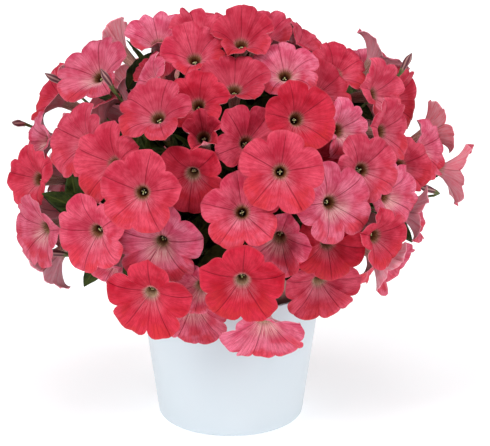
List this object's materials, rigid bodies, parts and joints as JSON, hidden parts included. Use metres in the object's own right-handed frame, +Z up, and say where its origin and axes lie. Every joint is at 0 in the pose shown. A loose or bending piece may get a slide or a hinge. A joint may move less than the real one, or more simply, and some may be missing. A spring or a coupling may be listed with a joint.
{
  "type": "potted petunia plant",
  "caption": "Dense round petunia in coral and pink bloom, in a brown grower's pot of compost that stands in a plain white tapered cover pot.",
  "frame": {"origin": "centre of the cover pot's flat underside, on the surface it stands on", "axes": "+Z up along the pots' axis; the side that the picture shows faces -Y; +X is to its right"},
  "size_m": [0.3599, 0.3297, 0.3323],
  "materials": {
    "cover_pot": "smooth satin white with a cool tint",
    "grower_pot": "matt brown moulded plastic",
    "soil": "damp crumbly peat compost",
    "foliage": "soft dark green leaves with a slight sheen",
    "petals": "velvety coral red and pink with dark veins"
  },
  "bodies": {
    "root": {"cover_pot": "cover_pot", "grower_pot": "grower_pot", "soil": "soil", "foliage": "foliage", "spray_01": "petals", "spray_02": "petals", "spray_03": "petals", "spray_04": "petals", "spray_05": "petals", "spray_06": "petals", "spray_07": "petals", "spray_08": "petals", "spray_09": "petals", "spray_10": "petals", "spray_11": "petals", "spray_12": "petals", "spray_13": "petals", "spray_14": "petals", "spray_15": "petals", "spray_16": "petals", "spray_17": "petals", "spray_18": "petals", "spray_19": "petals", "spray_20": "petals", "spray_21": "petals", "spray_22": "petals", "spray_23": "petals", "spray_24": "petals", "spray_25": "petals", "spray_26": "petals", "spray_27": "petals", "spray_28": "petals", "spray_29": "petals", "spray_30": "petals", "spray_31": "petals", "spray_32": "petals", "spray_33": "petals", "spray_34": "petals", "spray_35": "petals", "spray_36": "petals", "spray_37": "petals", "spray_38": "petals", "spray_39": "petals", "spray_40": "petals", "spray_41": "petals", "spray_42": "petals", "spray_43": "petals", "spray_44": "petals", "spray_45": "petals", "spray_46": "petals", "spray_47": "petals", "spray_48": "petals", "spray_49": "petals", "spray_50": "petals", "spray_51": "petals", "spray_52": "petals", "spray_53": "petals"}
  },
  "joints": []
}
